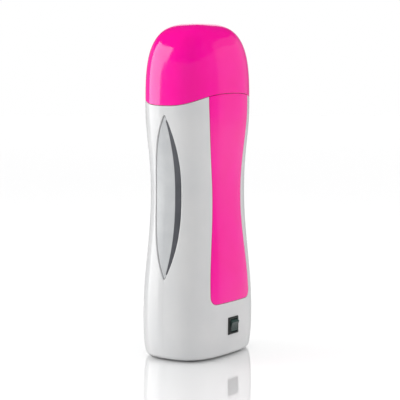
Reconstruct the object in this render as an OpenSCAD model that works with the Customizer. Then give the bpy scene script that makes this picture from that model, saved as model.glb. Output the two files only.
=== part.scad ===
// Roll-on wax cartridge warmer: a waisted two-piece housing with side windows, a heated chamber that
// holds a roll-on cartridge, a rocker switch, an appliance inlet and a lift-off cap.
// The front faces -Y, the windows face -X and +X, and the feet stand on Z = 0 around the origin.

/* [Body] */
// Height of the closed warmer, from the feet to the top of the cap
total_h = 200; // [196:1:210]
// Half of the width at the widest level of the foot
foot_half_w = 36.7; // [36:0.1:38]
// Half of the width at the waist
waist_half_w = 31.4; // [31.4:0.1:33]
// Half of the width at the rim, where the cap starts
rim_half_w = 34.8; // [34.6:0.1:36]
// Depth of every level, as a share of its width
depth_ratio = 0.70; // [0.69:0.01:0.75]
// Squareness of the section: 2 is an ellipse, and more is squarer
squareness = 2.9; // [2.6:0.1:3.2]
// Level of the widest section above the table
wide_z = 24; // [22:1:28]
// Level of the waist above the table
waist_z = 99; // [94:1:104]
// Wall of the shells and of the cap
wall = 2.0; // [1.8:0.1:2.2]

/* [Rim and cap] */
// Level of the joint between body and cap at the centre of the front
seam_z = 158.7; // [157:0.1:160]
// How far the joint falls from the centre to the sides
seam_drop = 6.8; // [5:0.1:7.5]
// Gap between the body and the cap
seam_gap = 0.25; // [0.2:0.05:0.4]
// Fullness of the dome of the cap: more is squarer
dome_power = 3.3; // [2.9:0.1:3.6]

/* [Front panel] */
// Half of the width of the panel at its waist
panel_waist_half_w = 15.1; // [13:0.1:17]
// Half of the width of the panel at its ends
panel_end_half_w = 20.5; // [19:0.1:22]
// Lower edge of the panel above the table
panel_bottom_z = 33.3; // [31:0.1:36]
// Depth of the recess that holds the panel
panel_t = 1.2; // [1:0.1:1.3]

/* [Windows] */
// Half of the height of the lens-shaped window opening
window_half_h = 48.5; // [44:0.1:49]
// Half of the width of the window opening
window_half_d = 9.3; // [8:0.1:10]
// Level of the centre of the window
window_z = 97.6; // [95:0.1:98]
// Share of the half width where the smoked sight strip starts
sight_share = 0.55; // [0.4:0.01:0.7]

/* [Cartridge] */
// Width of the roll-on cartridge
cartridge_w = 51; // [50:0.5:51]
// Depth of the roll-on cartridge
cartridge_d = 31; // [30:0.5:31]
// Corner radius of the cartridge
cartridge_r = 13; // [12:0.5:14]
// Gap between the cartridge and the chamber
chamber_gap = 0.7; // [0.5:0.1:0.8]
// Radius of the wax roller
roller_r = 7; // [6.5:0.1:7]

/* [Switch and inlet] */
// Width of the bezel of the rocker switch
switch_w = 10.2; // [10:0.1:11]
// Height of the bezel of the rocker switch
switch_h = 10.4; // [10:0.1:11]
// Level of the centre of the switch and of the inlet
switch_z = 18.9; // [18:0.1:20]
// Tilt of the rocker each way from its middle
rocker_tilt = 11; // [8:1:12]

/* [Hidden] */

big = 300;                        // larger than the whole warmer
foot_h = 0.8;                     // the housing's lower edge stands this high on its feet
rim_z = 150;                      // the body keeps its full rim width from here up
dome_z = 150;                     // the cap's dome starts to close from here
foot_tuck = 2.4;                  // how much narrower the foot is at the table than at wide_z
foot_edge_r = 2.4;                // rounding of the lower outer edge
floor_z = foot_h + 2.6;           // top of the shells' inward lip at the bottom
base_step = 4;                    // the base cover's flange lies this far inside the outer face
base_open = 6;                    // and the opening in the lip lies this far inside
neck_gap = 0.45;                  // clearance around the neck, inside the shells and inside the cap
neck_low_z = 148.2;
neck_top_z = 163.5;
neck_t = 1.5;
chamber_z = 40;                   // underside of the chamber's floor
chamber_t = 1.6;
cartridge_z = chamber_z + 3;      // underside of the cartridge
bottle_top_z = 147;
roller_z = 176;                   // axis of the roller
roller_len = 41.6;
axle_r = 2;
axle_gap = 0.05;                  // running clearance of the axle
leg_x = 18;                       // the chamber's two legs, which take the base screws
boss_x = 28;                      // the two bosses that join the shells
boss_z = 32;
front_y = depth_ratio*foot_half_w;    // outer face of the housing near the switch and the inlet
window_margin = 1.8;              // flange of a window behind the shell
window_power = 2.8;               // fullness of the window's outline
window_tip = 0.5;                 // half of the width of its blunt tips
pane_inset = 0.6;                 // the panes lie this far below the outer surface
seam_power = 2.8;                 // the joint is flat at the front and falls near the sides
section_n = 48;                   // points round a section
inlet_pitch = 8.6;                // spacing of the inlet's two pins

cap_pink = [0.93, 0.05, 0.55];
body_white = [0.93, 0.93, 0.94];
window_grey = [0.74, 0.75, 0.76];
black = [0.08, 0.08, 0.09];

function mix(a, b, t) = a + (b - a)*t;
function ease(t) = (1 - cos(180*t))/2;
function spow(v, p) = sign(v)*pow(abs(v), p);

// Half width of the housing at level z, before the lower edge is rounded
function half_w(z) =
    z < wide_z ? foot_half_w - foot_tuck*pow((wide_z - z)/wide_z, 3) :
    z < waist_z ? mix(foot_half_w, waist_half_w, ease((z - wide_z)/(waist_z - wide_z))) :
    z < rim_z ? mix(waist_half_w, rim_half_w, ease(pow((z - waist_z)/(rim_z - waist_z), 1.2))) :
    rim_half_w;

function edge_inset(z) = z < foot_h + foot_edge_r ?
    foot_edge_r - sqrt(max(0, pow(foot_edge_r, 2) - pow(foot_h + foot_edge_r - z, 2))) : 0;

// A closed section: half width a, half depth b, at level z
function ring(a, b, z) = [for (i = [0:section_n - 1]) let (t = 360*i/section_n)
    [a*spow(cos(t), 2/squareness), b*spow(sin(t), 2/squareness), z]];

function body_ring(z, inset) = let (a = half_w(z)) ring(a - inset, depth_ratio*a - inset, z);

// Levels of the body's sections
function levels(z0, z1, step) = let (n = ceil((z1 - z0)/step)) [for (i = [0:n]) mix(z0, z1, i/n)];

// A solid through a stack of rings that all have the same number of points
module loft(rings) {
    n = len(rings[0]);
    last = len(rings) - 1;
    points = [for (r = rings) for (p = r) p];
    sides = [for (k = [0:last - 1]) for (i = [0:n - 1]) let (j = (i + 1) % n)
        for (f = [[k*n + i, (k + 1)*n + i, (k + 1)*n + j], [k*n + i, (k + 1)*n + j, k*n + j]]) f];
    ends = [[for (i = [0:n - 1]) i], [for (i = [n - 1:-1:0]) last*n + i]];
    polyhedron(points, concat(sides, ends), convexity = 6);
}

// Joins freeform children into one closed surface
module one_surface() resize([0, 0, 0]) children();

// The housing's outer form, shrunk by inset, between two levels
module body_form(inset, z0, z1) loft([for (z = levels(z0, z1, 6)) body_ring(z, inset)]);

// The same with its rounded lower edge
module body_outside() loft(concat(
    [for (a = [0:18:72]) let (z = foot_h + foot_edge_r*(1 - cos(a))) body_ring(z, edge_inset(z))],
    [for (z = levels(foot_h + foot_edge_r, rim_z + 10, 6)) body_ring(z, 0)]));

// Everything below (or above) the curved joint of body and cap
module beside_seam(above, gap) {
    side = above ? 1 : -1;
    xs = [for (i = [-14:14]) i*rim_half_w*1.05/14];
    seam = [for (x = xs) [x, seam_z - seam_drop*pow(abs(x)/rim_half_w, seam_power) + side*gap]];
    rotate([90, 0, 0]) linear_extrude(big, center = true)
        polygon(concat(seam, [[big, side*big + seam_z], [-big, side*big + seam_z]]));
}

// A half space: side -1 is the front half and side 1 is the rear half
module half(side, gap) translate([-big/2, side > 0 ? gap : -big - gap, -10]) cube(big);

// Places an outline drawn in the YZ plane, and extrudes it to one side of the housing
module to_side(side) translate([0, 0, window_z]) rotate([90, 0, 90])
    translate([0, 0, side > 0 ? 20 : -60]) linear_extrude(40) children();

// Half width of the lens-shaped window at a share t of its half height
function lens(t) = 1 - pow(abs(t), window_power);

function window_edge(t, grow) = window_tip + (window_half_d - window_tip)*lens(t) + grow;

module window_prism(side, grow) {
    h = window_half_h + grow;
    n = 14;
    ts = [for (i = [-n:n]) sin(90*i/n)];
    edge = [for (t = ts) [window_edge(t, grow), h*t]];
    back = [for (i = [2*n:-1:0]) [-window_edge(ts[i], grow), h*ts[i]]];
    to_side(side) polygon(concat(edge, back));
}

// The crescent of a window's area that the smoked sight strip takes, towards the front
module crescent(side, outer, inner, reach) {
    n = 12;
    ts = [for (i = [-n:n]) reach*sin(90*i/n)];
    front = [for (t = ts) [-window_edge(t, outer), window_half_h*t]];
    rear = [for (i = [2*n:-1:0]) [inner - sight_share*window_half_d*lens(ts[i]), window_half_h*ts[i]]];
    to_side(side) polygon(concat(front, rear));
}

// Half width of the front panel at level z
function panel_half_w(z) = let (mid = 96, reach = 60)
    mix(panel_waist_half_w, panel_end_half_w, ease(min(1, abs(z - mid)/reach)));

// The waisted outline of the front panel, extruded to the front of the housing
module panel_prism(grow) {
    r = 5;
    low = panel_bottom_z - grow;
    w = panel_half_w(low) + grow;
    right = [for (z = levels(low + r, rim_z + 20, 7)) [panel_half_w(z) + grow, z]];
    corner = [for (a = [-90:15:-15]) [w - r + r*cos(a), low + r + r*sin(a)]];
    outline = concat(corner, right);
    left = [for (i = [len(outline) - 1:-1:0]) [-outline[i][0], outline[i][1]]];
    rotate([90, 0, 0]) linear_extrude(big) polygon(concat(outline, left));
}

// Where the front panel is held: six stakes through the floor of its recess
panel_stakes = [for (z = [42, 95, 142]) for (side = [-1, 1]) [side*(panel_half_w(z) - 5), z]];
module stakes(r, y0, y1) for (p = panel_stakes)
    translate([p[0], -y1, p[1]]) rotate([-90, 0, 0]) cylinder(r = r, h = y1 - y0, $fn = 13);

module rounded_plate(w, d, r, h) linear_extrude(h) {
    square([w - 2*r, d], center = true);
    square([w, d - 2*r], center = true);
    for (x = [-1, 1]) for (y = [-1, 1]) translate([x*(w/2 - r), y*(d/2 - r)]) circle(r = r, $fn = 48);
}

module section_plate(a, b, h) linear_extrude(h) polygon([for (p = ring(a, b, 0)) [p[0], p[1]]]);

// ---- housing ----

module shell(side) {
    intersection() {
        body_outside();
        half(side, 0.05);
        beside_seam(false, seam_gap/2);
        difference() {
            translate([0, 0, big/2]) cube(big, center = true);
            body_form(wall, floor_z, rim_z + 12);
            translate([0, 0, foot_h - 1])
                section_plate(half_w(0) - base_step, depth_ratio*half_w(0) - base_step, 2.6);
            section_plate(half_w(0) - base_open, depth_ratio*half_w(0) - base_open, floor_z + 1);
            for (s = [-1, 1]) window_prism(s, 0);
        }
    }
}

module shell_bosses(side, hole_r) for (s = [-1, 1]) translate([s*boss_x, side*0.05, boss_z])
    rotate([-90*side, 0, 0]) difference() {
        cylinder(r = 3.8, h = 20.4, $fn = 20);
        translate([0, 0, -1]) cylinder(r = hole_r, h = 16, $fn = 16);
    }

module front_shell() color(body_white) one_surface() {
    difference() {
        shell(-1);
        difference() {
            panel_prism(0);
            body_form(panel_t, 20, rim_z + 12);
        }
        stakes(1.15, front_y - 12, front_y + 2);
        translate([-switch_w/2 + 0.8, -front_y - 5, switch_z - switch_h/2 + 0.8])
            cube([switch_w - 1.6, 10, switch_h - 1.6]);
    }
    intersection() {
        shell_bosses(-1, 1.2);
        body_form(wall/2, 10, 60);
    }
}

module rear_shell() color(body_white) one_surface() difference() {
    union() {
        shell(1);
        intersection() {
            shell_bosses(1, 1.7);
            body_form(wall/2, 10, 60);
        }
    }
    for (s = [-1, 1]) translate([s*boss_x, 0, boss_z]) rotate([-90, 0, 0]) {
        translate([0, 0, 9.5]) cylinder(r = 2.9, h = 20, $fn = 16);
        cylinder(r = 1.7, h = 20, $fn = 16);
    }
    translate([-9.2, front_y - 6, switch_z - 5.2]) cube([18.4, 10, 10.4]);
}

module front_panel() color(cap_pink) one_surface() {
    intersection() {
        difference() {
            body_form(-0.02, 20, rim_z + 12);
            body_form(panel_t - 0.05, 18, rim_z + 14);
        }
        panel_prism(-0.18);
        beside_seam(false, seam_gap/2);
    }
    intersection() {
        stakes(0.95, front_y - 12, front_y - 1);
        body_form(panel_t - 0.1, 30, rim_z);
        difference() {
            translate([0, 0, big/2]) cube(big, center = true);
            body_form(wall + 0.5, 28, rim_z + 2);
        }
    }
}

pane_low = window_z - window_half_h - 5;
pane_top = window_z + window_half_h + 5;

module window(side) one_surface() difference() {
    intersection() {
        window_prism(side, window_margin);
        body_form(pane_inset, pane_low, pane_top);
    }
    body_form(wall + 1, pane_low - 1, pane_top + 1);
    difference() {
        window_prism(side, window_margin + 2);
        window_prism(side, -0.15);
        body_form(wall + 0.1, pane_low - 2, pane_top + 2);
    }
    difference() {
        crescent(side, 0.6, 0.05, 0.941);
        body_form(pane_inset + 1, pane_low - 2, pane_top + 2);
    }
    crescent(side, -0.85, -0.7, 0.8);
}

module sight_strip(side) one_surface() difference() {
    intersection() {
        crescent(side, -0.15, 0, 0.94);
        body_form(pane_inset, pane_low, pane_top);
    }
    body_form(pane_inset + 0.95, pane_low - 1, pane_top + 1);
}

module window_left() color(window_grey) window(-1);
module window_right() color(window_grey) window(1);
module sight_strip_left() color([0.3, 0.3, 0.31]) sight_strip(-1);
module sight_strip_right() color([0.3, 0.3, 0.31]) sight_strip(1);

foot_spots = [for (x = [-1, 1]) for (y = [-1, 1]) [x*21, y*11]];

module base_cover() color(body_white) difference() {
    a = half_w(0);
    b = depth_ratio*a;
    union() {
        translate([0, 0, foot_h]) section_plate(a - base_step - 0.15, b - base_step - 0.15, 1.5);
        translate([0, 0, foot_h + 1.5]) section_plate(a - base_open - 0.2, b - base_open - 0.2, 2);
    }
    for (p = foot_spots) translate([p[0], p[1], 0]) cylinder(r = 4.1, h = foot_h + 0.7, $fn = 48);
    for (s = [-1, 1]) translate([s*leg_x, 0, 0]) {
        cylinder(r = 3, h = foot_h + 1.4, $fn = 32);
        cylinder(r = 1.6, h = 10, $fn = 32);
    }
}

module rubber_feet() color(black) for (p = foot_spots) translate([p[0], p[1], 0])
    cylinder(r = 4, h = foot_h + 0.65, $fn = 48);

// A pan-head screw that points up, with a cross recess under its head
module screw(head_r, head_h, shank_r, length) difference() {
    union() {
        cylinder(r = head_r, h = head_h, $fn = 32);
        translate([0, 0, head_h]) cylinder(r = shank_r, h = length, $fn = 32);
    }
    for (a = [0, 90]) rotate([0, 0, a]) translate([-head_r*0.6, -0.3, -1])
        cube([head_r*1.2, 0.6, 1 + head_h*0.6]);
}

module base_screws() color([0.6, 0.6, 0.62]) for (s = [-1, 1])
    translate([s*leg_x, 0, foot_h + 0.2]) screw(2.7, 1.2, 1.25, 8);

module shell_screws() color([0.6, 0.6, 0.62]) for (s = [-1, 1])
    translate([s*boss_x, 9.4, boss_z]) translate([0, 1.6, 0]) rotate([90, 0, 0]) screw(2.6, 1.5, 1.15, 20);

// ---- heating chamber ----

chamber_w = cartridge_w + 2*chamber_gap;
chamber_d = cartridge_d + 2*chamber_gap;
chamber_r = cartridge_r + chamber_gap;
plate_half_w = 16;
plate_low_z = 48;
plate_top_z = 126;

module chamber_sleeve() color([0.82, 0.83, 0.84]) {
    neck_a = rim_half_w - wall - neck_gap;
    neck_b = depth_ratio*rim_half_w - wall - neck_gap;
    deck_z = neck_top_z - 2.5;
    difference() {
        union() {
            translate([0, 0, chamber_z]) rounded_plate(chamber_w + 2*chamber_t, chamber_d + 2*chamber_t,
                chamber_r + chamber_t, deck_z - chamber_z + 0.5);
            translate([0, 0, neck_low_z]) difference() {
                section_plate(neck_a, neck_b, neck_top_z - neck_low_z);
                translate([0, 0, -1])
                    section_plate(neck_a - neck_t, neck_b - neck_t, deck_z - neck_low_z - 0.5);
                translate([0, 0, deck_z - neck_low_z + 1])
                    section_plate(neck_a - neck_t, neck_b - neck_t, 5);
            }
            translate([0, 0, neck_top_z - 3]) difference() {
                section_plate(neck_a + 0.12, neck_b + 0.12, 1);
                translate([0, 0, -1]) section_plate(neck_a - 0.5, neck_b - 0.5, 3);
            }
            for (s = [-1, 1]) translate([s*leg_x, 0, foot_h + 3.6])
                cylinder(r = 3, h = chamber_z - foot_h - 3, $fn = 32);
        }
        translate([0, 0, chamber_z + 2]) rounded_plate(chamber_w, chamber_d, chamber_r, big);
        for (s = [-1, 1]) translate([s*leg_x, 0, 0]) cylinder(r = 1.28, h = 16, $fn = 32);
        translate([-big/2, -9, plate_low_z - 1]) cube([big, 18, 95]);
        translate([-plate_half_w, 10, plate_low_z]) cube([2*plate_half_w, 20, plate_top_z - plate_low_z]);
    }
}

module heating_plate() color([0.8, 0.8, 0.82])
    translate([-plate_half_w + 0.1, chamber_d/2 + 0.05, plate_low_z + 0.1])
        cube([2*plate_half_w - 0.2, chamber_t - 0.05, plate_top_z - plate_low_z - 0.2]);

heater_y = chamber_d/2 + chamber_t;

module ptc_heaters() color([0.35, 0.33, 0.3]) for (z = [49, 61.5])
    translate([-12, heater_y + 0.02, z]) cube([24, 2, 11]);

module insulation_sheet() color([0.85, 0.72, 0.45])
    translate([-13, heater_y + 2.05, 49]) cube([26, 0.3, 24]);

module heater_clip() color([0.7, 0.72, 0.75]) translate([0, heater_y, 0]) {
    translate([-14.4, 2.4, 56]) cube([28.8, 0.4, 10]);
    for (s = [-1, 1]) translate([s*14.2 - 0.2, 0.03, 56]) cube([0.4, 2.4, 10]);
}

fuse_z = 44.5;
fuse_y = heater_y + 1.95;
module thermal_fuse() color([0.75, 0.74, 0.7]) translate([0, fuse_y, fuse_z]) rotate([0, 90, 0]) {
    cylinder(r = 1.7, h = 10, center = true, $fn = 32);
    cylinder(r = 0.5, h = 15, center = true, $fn = 24);
}

// ---- rocker switch ----

bezel_y = -front_y - 0.9;         // front face of the bezel
pivot_y = bezel_y + 1.9;          // axis of the rocker, parallel to X
rocker_r = 4.0;
rocker_w = 7.2;

module switch_housing() color(black) difference() {
    union() {
        hull() {
            translate([-switch_w/2, bezel_y + 0.5, switch_z - switch_h/2]) cube([switch_w, 0.42, switch_h]);
            translate([-switch_w/2 + 0.4, bezel_y, switch_z - switch_h/2 + 0.4])
                cube([switch_w - 0.8, 0.5, switch_h - 0.8]);
        }
        translate([-switch_w/2 + 0.85, bezel_y + 0.9, switch_z - switch_h/2 + 0.85])
            cube([switch_w - 1.7, 12.6, switch_h - 1.7]);
    }
    translate([-rocker_w/2 - 0.15, bezel_y - 1, switch_z - rocker_r - 0.15])
        cube([rocker_w + 0.3, 8.5, 2*rocker_r + 0.3]);
    translate([0, pivot_y, switch_z]) rotate([0, 90, 0])
        cylinder(r = 0.8, h = rocker_w + 1.0, center = true, $fn = 32);
}

module switch_terminals() color([0.85, 0.7, 0.35]) for (dz = [-2.6, 2.6])
    translate([-1.4, bezel_y + 13.55, switch_z + dz - 0.25]) cube([2.8, 6, 0.5]);

module switch_lamp() color([0.9, 0.55, 0.3]) translate([0, bezel_y + 7.4, switch_z]) rotate([90, 0, 0]) {
    cylinder(r = 1.2, h = 1.2, $fn = 32);
}

// A rocker with a shallow hollow face, resting with its lower half pressed in
module switch_rocker() color([0.1, 0.16, 0.15])
    translate([0, pivot_y, switch_z]) rotate([rocker_tilt, 0, 0]) difference() {
        union() {
            intersection() {
                rotate([0, 90, 0]) cylinder(r = rocker_r, h = rocker_w, center = true, $fn = 64);
                translate([-rocker_w, -rocker_r, -rocker_r]) cube([2*rocker_w, rocker_r + 2.2, 2*rocker_r]);
            }
            rotate([0, 90, 0]) cylinder(r = 0.75, h = rocker_w + 0.8, center = true, $fn = 32);
        }
        translate([0, -12.4, 0]) rotate([0, 90, 0])
            cylinder(r = 10, h = 2*rocker_w, center = true, $fn = 96);
        translate([-rocker_w/2 + 0.9, 0.9, -rocker_r + 1.4]) cube([rocker_w - 1.8, 4, 2*rocker_r - 2.8]);
    }

// ---- appliance inlet ----

inlet_y = front_y + 1.2;          // outer face of the inlet's flange

module inlet_socket() color(black) difference() {
    union() {
        translate([0, inlet_y, switch_z]) rotate([90, 0, 0]) rounded_plate(21, 12.6, 3, 1.15);
        translate([-9, inlet_y - 14.5, switch_z - 5]) cube([18, 13.5, 10]);
    }
    for (s = [-1, 1]) translate([s*3.9, inlet_y - 11, switch_z]) rotate([-90, 0, 0])
        cylinder(r = 3.7, h = 20, $fn = 64);
    translate([-3.9, inlet_y - 11, switch_z - 2.9]) cube([7.8, 20, 5.8]);
    for (s = [-1, 1]) translate([s*inlet_pitch/2, inlet_y - 20, switch_z]) rotate([-90, 0, 0])
        cylinder(r = 1.22, h = 12, $fn = 32);
}

module inlet_pins() color([0.8, 0.8, 0.8]) for (s = [-1, 1])
    translate([s*inlet_pitch/2, inlet_y - 2, switch_z]) rotate([90, 0, 0]) {
        cylinder(r = 1.18, h = 12.6, $fn = 32);
        translate([-1.6, -0.4, 12.6]) cube([3.2, 0.8, 6]);
    }

// ---- internal leads ----

lead_r = 0.8;
lead_sides = 8;

// A smooth curve through points p, with n steps between neighbours
function curve_point(a, b, c, d, t) = 0.5*(2*b + (c - a)*t + (2*a - 5*b + 4*c - d)*t*t
    + (3*b - a - 3*c + d)*t*t*t);
function smooth_path(p, n) = let (m = len(p)) concat(
    [for (i = [0:m - 2]) for (k = [0:n - 1])
        curve_point(p[max(i - 1, 0)], p[i], p[i + 1], p[min(i + 2, m - 1)], k/n)],
    [p[m - 1]]);
function unit(v) = v/norm(v);
function tangent(p, i) = unit(p[min(i + 1, len(p) - 1)] - p[max(i - 1, 0)]);

// Side directions carried along the path without twist
function carried(p, i, side, out) = i == len(p) ? out :
    let (t = tangent(p, i), s = unit(side - t*(side*t))) carried(p, i + 1, s, concat(out, [s]));

module lead(points) {
    path = smooth_path(points, 3);
    sides = carried(path, 0, [0.31, 0.27, 0.91], []);
    loft([for (i = [0:len(path) - 1]) let (t = tangent(path, i), u = sides[i], v = cross(t, u))
        [for (k = [0:lead_sides - 1]) let (a = 360*k/lead_sides) path[i] + lead_r*(cos(a)*u + sin(a)*v)]]);
}

blade_y = inlet_y - 21.4;         // just past the inlet's blades
tab_y = bezel_y + 20.4;           // just past the switch's tabs

// From the inlet's live blade to the switch
live_route = [[4.3, blade_y, 18.9], [4.3, blade_y - 1.5, 18], [5, 0, 12], [2, -3.5, 12],
    [0, tab_y + 1.2, 14.7], [0, tab_y, 16.3]];
// From the switch up to the lower heater
switched_route = [[0, tab_y, 21.5], [0, tab_y + 1.5, 22.7], [7, -1, 27], [11, 8, 32], [11, 17, 37],
    [11, 19.6, 42], [11.1, 19.3, 48.6]];
// From the inlet's neutral blade to the thermal fuse
neutral_route = [[-4.3, blade_y, 18.9], [-4.3, blade_y - 1.5, 19.7], [-6, 3, 27], [-9, 11.5, 33.5],
    [-10.5, 18.2, 39], [-10, fuse_y, 43.5], [-7.6, fuse_y, fuse_z]];
// From the thermal fuse to the same heater's other face
heater_route = [[7.6, fuse_y, fuse_z], [8.2, fuse_y, fuse_z], [8.9, fuse_y, 45.3], [9, 19.6, 46.5],
    [8.8, 19.3, 48.5]];

module lead_live() color([0.45, 0.25, 0.12]) lead(live_route);
module lead_switched() color([0.75, 0.1, 0.1]) lead(switched_route);
module lead_neutral() color([0.15, 0.3, 0.7]) lead(neutral_route);
module lead_heater() color([0.9, 0.9, 0.88]) lead(heater_route);

// ---- cap ----

// The dome: the section closes from the rim to the top along a squared-off quarter curve
function dome_rings(inset) = [for (s = [0, 8, 16, 25, 34, 43, 52, 61, 69, 76, 82, 86.5, 89])
    let (w = pow(cos(s), 2/dome_power), u = pow(sin(s), 2/dome_power))
    ring((rim_half_w - inset)*w, (depth_ratio*rim_half_w - inset)*w,
        dome_z + (total_h - inset - dome_z)*u)];

module dome(inset, low_z) loft(concat(
    [ring(rim_half_w - inset, depth_ratio*rim_half_w - inset, low_z)], dome_rings(inset)));

module cap() color(cap_pink) one_surface() intersection() {
    difference() {
        dome(0, dome_z - 10);
        dome(wall, dome_z - 11);
    }
    beside_seam(true, seam_gap/2);
}

// ---- roll-on cartridge ----

bottle_wall = 1.1;
neck_w = cartridge_w - 5;
bottle_neck_d = cartridge_d - 5;
wax_top_z = 132;

module cartridge_bottle() color([0.9, 0.9, 0.88, 0.6]) difference() {
    union() {
        translate([0, 0, cartridge_z])
            rounded_plate(cartridge_w, cartridge_d, cartridge_r, bottle_top_z - cartridge_z);
        translate([0, 0, bottle_top_z - 1]) rounded_plate(neck_w, bottle_neck_d, cartridge_r - 2.5, 7);
    }
    translate([0, 0, cartridge_z + bottle_wall]) rounded_plate(cartridge_w - 2*bottle_wall,
        cartridge_d - 2*bottle_wall, cartridge_r - bottle_wall, bottle_top_z - cartridge_z - 2*bottle_wall);
    translate([0, 0, bottle_top_z - 4]) rounded_plate(neck_w - 2*bottle_wall, bottle_neck_d - 2*bottle_wall,
        cartridge_r - 2.5 - bottle_wall, 20);
}

module wax_fill() color([0.85, 0.45, 0.15]) translate([0, 0, cartridge_z + bottle_wall + 0.05])
    rounded_plate(cartridge_w - 2*bottle_wall - 0.1, cartridge_d - 2*bottle_wall - 0.1,
        cartridge_r - bottle_wall - 0.05, wax_top_z - cartridge_z - bottle_wall);

module roller_head() color([0.95, 0.95, 0.95]) difference() {
    low_z = bottle_top_z + 0.1;
    union() {
        translate([0, 0, low_z]) rounded_plate(cartridge_w - 1, cartridge_d - 1, cartridge_r - 0.5, 9);
        hull() {
            translate([0, 0, low_z + 9])
                rounded_plate(cartridge_w - 1, cartridge_d - 1, cartridge_r - 0.5, 0.2);
            translate([0, 0, roller_z + 1]) rounded_plate(cartridge_w - 2, 20, 9, 0.4);
        }
    }
    translate([0, 0, low_z - 1]) rounded_plate(neck_w + 0.2, bottle_neck_d + 0.2, cartridge_r - 2.4, 7.4);
    translate([0, 0, roller_z]) rotate([0, 90, 0]) {
        cylinder(r = roller_r + 0.4, h = roller_len + 0.6, center = true, $fn = 64);
        cylinder(r = axle_r + axle_gap, h = 46.5, center = true, $fn = 48);
    }
    translate([-18, -3, low_z + 5]) cube([36, 6, roller_z - roller_r - low_z - 4]);
}

module roller() color([0.88, 0.89, 0.9]) translate([0, 0, roller_z]) rotate([0, 90, 0]) {
    cylinder(r = roller_r, h = roller_len, center = true, $fn = 64);
    cylinder(r = axle_r, h = 46, center = true, $fn = 48);
}

front_shell();
rear_shell();
front_panel();
window_left();
window_right();
sight_strip_left();
sight_strip_right();
base_cover();
rubber_feet();
base_screws();
shell_screws();
chamber_sleeve();
heating_plate();
ptc_heaters();
insulation_sheet();
heater_clip();
thermal_fuse();
switch_housing();
switch_terminals();
switch_lamp();
switch_rocker();
inlet_socket();
inlet_pins();
lead_live();
lead_switched();
lead_neutral();
lead_heater();
cap();
cartridge_bottle();
wax_fill();
roller_head();
roller();
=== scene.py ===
import math

import bpy
import numpy as np
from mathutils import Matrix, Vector
from mathutils.geometry import delaunay_2d_cdt


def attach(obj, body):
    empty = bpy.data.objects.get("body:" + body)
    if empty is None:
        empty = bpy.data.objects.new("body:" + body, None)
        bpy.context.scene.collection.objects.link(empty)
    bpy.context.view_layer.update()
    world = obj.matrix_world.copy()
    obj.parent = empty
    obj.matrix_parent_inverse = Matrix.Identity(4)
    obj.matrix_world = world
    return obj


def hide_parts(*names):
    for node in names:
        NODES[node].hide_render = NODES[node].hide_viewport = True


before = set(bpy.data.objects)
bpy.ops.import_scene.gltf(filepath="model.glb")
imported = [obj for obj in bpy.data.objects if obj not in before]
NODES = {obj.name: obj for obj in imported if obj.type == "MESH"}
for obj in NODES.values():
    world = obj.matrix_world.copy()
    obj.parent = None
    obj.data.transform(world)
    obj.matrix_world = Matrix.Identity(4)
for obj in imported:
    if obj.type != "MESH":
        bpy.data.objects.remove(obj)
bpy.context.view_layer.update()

# ---------------------------------------------------------------- sizes
# In millimetres, as in the CAD part. Widths and depths are half of the whole, seen from the middle.

# The body's half width at the foot, the waist and the rim under the cap, and their levels
FOOT_W, WAIST_W, RIM_W = 36.69, 31.4, 34.8
WIDE_Z, WAIST_Z, RIM_Z, TOTAL_H = 24.0, 99.0, 150.0, 199.99
# Depth to width, the power that squares the outline off, and how far the foot tucks in
DEPTH, SQUARE, TUCK = 0.70, 2.9, 2.4
# Skew of the curve from the waist up to the rim
RIM_SKEW = 1.2
# Fullness of the cap's dome, and how far above the rim its half width is worked out
DOME_POWER, DOME_REACH = 3.3, 49
# The size of the profile that ways along the cap are measured on
PROFILE_W, PROFILE_H = 30, 50
# Every wall's thickness, and the gap from the shells' parting line to each shell
WALL = 2.0
SHELL_GAP = 0.02
# The shells' lower edge, its rounding, and the lip that turns in under it
FOOT_H, FOOT_R, FOOT_LIP = 0.8, 2.4, 4.0
# The joint between body and cap: level at the middle, drop towards the sides, half of its gap
SEAM_Z, SEAM_DROP, SEAM_POWER, SEAM_GAP = 158.7, 6.8, 2.8, 0.125
# The front panel: half widths, the level and reach of its waist, lower edge, corners, thickness
PANEL_W, PANEL_END_W, PANEL_WAIST_Z, PANEL_REACH = 15.1, 20.5, 96, 60
PANEL_LOW, PANEL_CORNER_R, PANEL_T = 33.3, 5.0, 1.2
# Play round the panel, and between its back and the seat in the shell
PANEL_PLAY, PANEL_BEHIND = 0.18, 0.05
# The window: half height, half depth, middle level, fullness, half width of its tips
WIN_H, WIN_D, WIN_Z, WIN_POWER, WIN_TIP = 48.5, 9.3, 97.6, 2.8, 0.5
# How far the window's pieces lie below the surface, and their inner faces
SUNK, PANE_DEEP, STRIP_DEEP = 0.6, 2.9, 1.9
# Play round the pane and the dark strip of painted shade, and between the two
PANE_PLAY, STRIP_PLAY, STRIP_GAP = 0.26, 0.2, 0.06
# The strip's share of the window's depth and height, the notch for it, and where the pane's tips begin
SHADE_SHARE, STRIP_REACH, NOTCH_REACH, TIP_REACH = 0.55, 0.935, 0.945, 0.95
# The switch's and the inlet's holes: level, half sizes and corners
SWITCH_Z, SWITCH_HALF_W, SWITCH_HALF_H, SWITCH_CORNER_R = 18.9, 4.3, 4.4, 0.5
INLET_HALF_W, INLET_HALF_H, INLET_CORNER_R = 9.2, 5.2, 1.0
# The rear's two screw wells: place, inner and outer radius, and how far forward they reach
SCREW_X, SCREW_Z, WELL_R, WELL_OUTER_R, WELL_Y = 28.0, 32.0, 2.9, 3.8, 11.0
# Roundings of the shells' and the cap's edges, of the window and panel, of the holes and of the panes
EDGE_R, WINDOW_R, HOLE_R, PANE_R = 0.35, 0.55, 0.2, 0.12
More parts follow.
